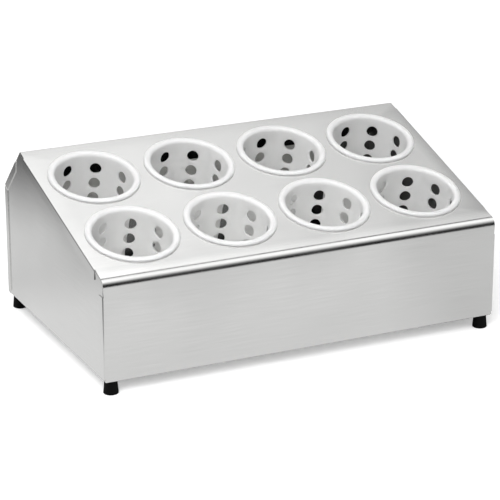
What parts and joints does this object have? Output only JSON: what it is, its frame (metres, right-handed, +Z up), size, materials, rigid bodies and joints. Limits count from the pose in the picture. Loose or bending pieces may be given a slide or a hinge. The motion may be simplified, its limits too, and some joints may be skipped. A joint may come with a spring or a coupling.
{
  "type": "cutlery dispenser",
  "caption": "Countertop cutlery dispenser: folded stainless box with a sloping deck that holds rows of white perforated cylinders by their rims, on rubber feet.",
  "frame": {"origin": "centre of the footprint, on the surface that the feet stand on", "axes": "+X along the front to the right as the user faces it, +Y from the front to the back, +Z up"},
  "size_m": [0.522, 0.331, 0.2222],
  "materials": {
    "brushed_steel": "fine brushed grain along the width",
    "white_plastic": "moulded, soft sheen",
    "black_rubber": "moulded rubber",
    "steel_hardware": "zinc plated"
  },
  "bodies": {
    "housing": {"body_wrap": "brushed_steel", "end_panel_left": "brushed_steel", "end_panel_right": "brushed_steel", "foot_front_left": "black_rubber", "foot_front_right": "black_rubber", "foot_back_left": "black_rubber", "foot_back_right": "black_rubber", "foot_insert_front_left": "steel_hardware", "foot_insert_front_right": "steel_hardware", "foot_insert_back_left": "steel_hardware", "foot_insert_back_right": "steel_hardware", "foot_screws": "steel_hardware", "foot_washers": "steel_hardware", "foot_nuts": "steel_hardware"},
    "cylinder_front_1": {"cylinder_front_1": "white_plastic"},
    "cylinder_front_2": {"cylinder_front_2": "white_plastic"},
    "cylinder_front_3": {"cylinder_front_3": "white_plastic"},
    "cylinder_front_4": {"cylinder_front_4": "white_plastic"},
    "cylinder_rear_1": {"cylinder_rear_1": "white_plastic"},
    "cylinder_rear_2": {"cylinder_rear_2": "white_plastic"},
    "cylinder_rear_3": {"cylinder_rear_3": "white_plastic"},
    "cylinder_rear_4": {"cylinder_rear_4": "white_plastic"}
  },
  "joints": [
    {"name": "cylinder_front_1_lift", "type": "slide", "parent": "housing", "child": "cylinder_front_1", "axis": [0, -0.2807, 0.9598], "range_m": [0, 0.16]},
    {"name": "cylinder_front_2_lift", "type": "slide", "parent": "housing", "child": "cylinder_front_2", "axis": [0, -0.2807, 0.9598], "range_m": [0, 0.16]},
    {"name": "cylinder_front_3_lift", "type": "slide", "parent": "housing", "child": "cylinder_front_3", "axis": [0, -0.2807, 0.9598], "range_m": [0, 0.16]},
    {"name": "cylinder_front_4_lift", "type": "slide", "parent": "housing", "child": "cylinder_front_4", "axis": [0, -0.2807, 0.9598], "range_m": [0, 0.16]},
    {"name": "cylinder_rear_1_lift", "type": "slide", "parent": "housing", "child": "cylinder_rear_1", "axis": [0, -0.2807, 0.9598], "range_m": [0, 0.16]},
    {"name": "cylinder_rear_2_lift", "type": "slide", "parent": "housing", "child": "cylinder_rear_2", "axis": [0, -0.2807, 0.9598], "range_m": [0, 0.16]},
    {"name": "cylinder_rear_3_lift", "type": "slide", "parent": "housing", "child": "cylinder_rear_3", "axis": [0, -0.2807, 0.9598], "range_m": [0, 0.16]},
    {"name": "cylinder_rear_4_lift", "type": "slide", "parent": "housing", "child": "cylinder_rear_4", "axis": [0, -0.2807, 0.9598], "range_m": [0, 0.16]}
  ]
}
